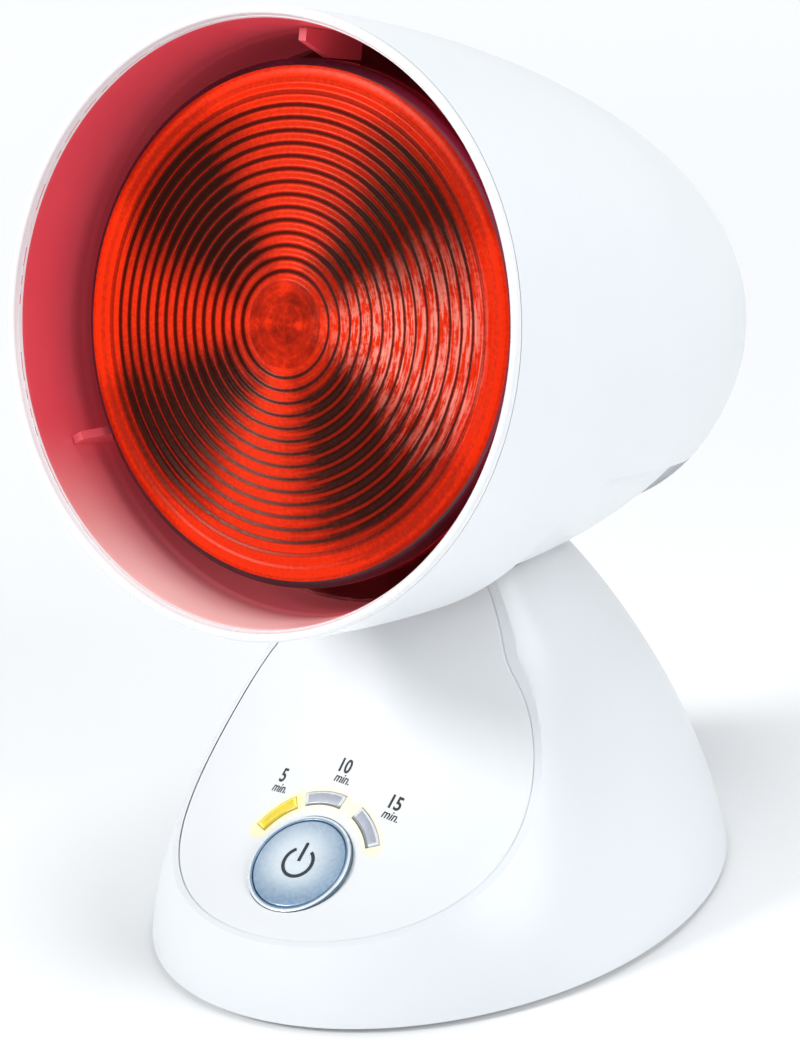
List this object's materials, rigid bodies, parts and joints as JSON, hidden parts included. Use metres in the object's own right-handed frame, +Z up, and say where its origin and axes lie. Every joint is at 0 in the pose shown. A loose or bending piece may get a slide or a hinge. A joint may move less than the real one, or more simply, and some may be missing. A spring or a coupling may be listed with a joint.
{
  "type": "infrared heat therapy lamp",
  "caption": "Table infrared heat lamp: a round red reflector bulb in a bullet-shaped tilting shade, on a domed base with a concave panel, a push button and timer lights.",
  "frame": {"origin": "middle of the lamp's length and width, on the surface it stands on", "axes": "+Z up, -Y towards the front that the bulb faces, +X to the right seen from the front"},
  "size_m": [0.1432, 0.2042, 0.2321],
  "materials": {
    "white_plastic": "satin white moulded casing, faint wear",
    "panel_white": "smooth white control panel",
    "inner_white": "white inner wall that takes the red of the bulb",
    "red_glass": "ruby pressed glass with concentric rings",
    "silvered_glass": "glass silvered inside",
    "brass": "plain stamped brass",
    "ceramic": "unglazed steatite",
    "zinc_steel": "zinc plated",
    "aluminium": "thin spun sheet",
    "button_blue": "pearl blue-grey",
    "ring_chrome": "thin bright ring",
    "lit_yellow": "clear light guide, lit yellow",
    "clear_grey": "clear light guide or lamp, unlit",
    "board_green": "laminate with solder mask",
    "dark_plastic": "black moulded plastic",
    "rubber": "black rubber",
    "relay_blue": "blue moulded case",
    "cast_iron": "rough cast",
    "nylon": "natural nylon"
  },
  "bodies": {
    "base": {"axle_nut": "zinc_steel", "ballast_weight": "cast_iron", "base_plate": "dark_plastic", "base_screw_1": "zinc_steel", "base_screw_2": "zinc_steel", "base_screw_3": "zinc_steel", "base_screw_4": "zinc_steel", "base_shell": "white_plastic", "board_screw_1": "zinc_steel", "board_screw_2": "zinc_steel", "board_screw_3": "zinc_steel", "board_screw_4": "zinc_steel", "button_ring": "ring_chrome", "cord_gland": "rubber", "foot_back_left": "rubber", "foot_back_right": "rubber", "foot_front_left": "rubber", "foot_front_right": "rubber", "friction_washer_left": "nylon", "friction_washer_right": "nylon", "front_panel": "panel_white", "led_10": "clear_grey", "led_15": "clear_grey", "led_5": "clear_grey", "light_guide_10": "clear_grey", "light_guide_15": "clear_grey", "light_guide_5": "lit_yellow", "mains_fuse": "ceramic", "pivot_axle": "zinc_steel", "power_board": "board_green", "supply_capacitor": "nylon", "supply_transformer": "dark_plastic", "tact_switch": "dark_plastic", "terminal_block": "nylon", "timer_board": "board_green", "timer_relay": "relay_blue"},
    "head": {"head_shell": "white_plastic", "head_lower_cover": "white_plastic", "inner_shade": "inner_white", "heat_shield": "aluminium", "bulb_lens": "red_glass", "bulb_reflector": "silvered_glass", "bulb_screw_cap": "brass", "bulb_contact": "brass", "lampholder": "ceramic", "holder_sleeve": "brass", "holder_contact": "brass", "lamp_frame": "zinc_steel", "frame_screw_1": "zinc_steel", "frame_screw_2": "zinc_steel", "frame_screw_3": "zinc_steel", "holder_screw_1": "zinc_steel", "holder_screw_2": "zinc_steel", "thermal_cutout": "dark_plastic"},
    "button": {"power_button": "button_blue", "switch_plunger": "dark_plastic"}
  },
  "joints": [
    {"name": "head_tilt", "type": "hinge", "parent": "base", "child": "head", "pos_m": [0, -0.00505, 0.1], "axis": [-1, 0, 0], "range_deg": [-14, 14]},
    {"name": "button_press", "type": "slide", "parent": "base", "child": "button", "axis": [0, 0.5446, -0.8387], "range_m": [0, 0.0008], "stiffness_N_per_m": 3000}
  ]
}
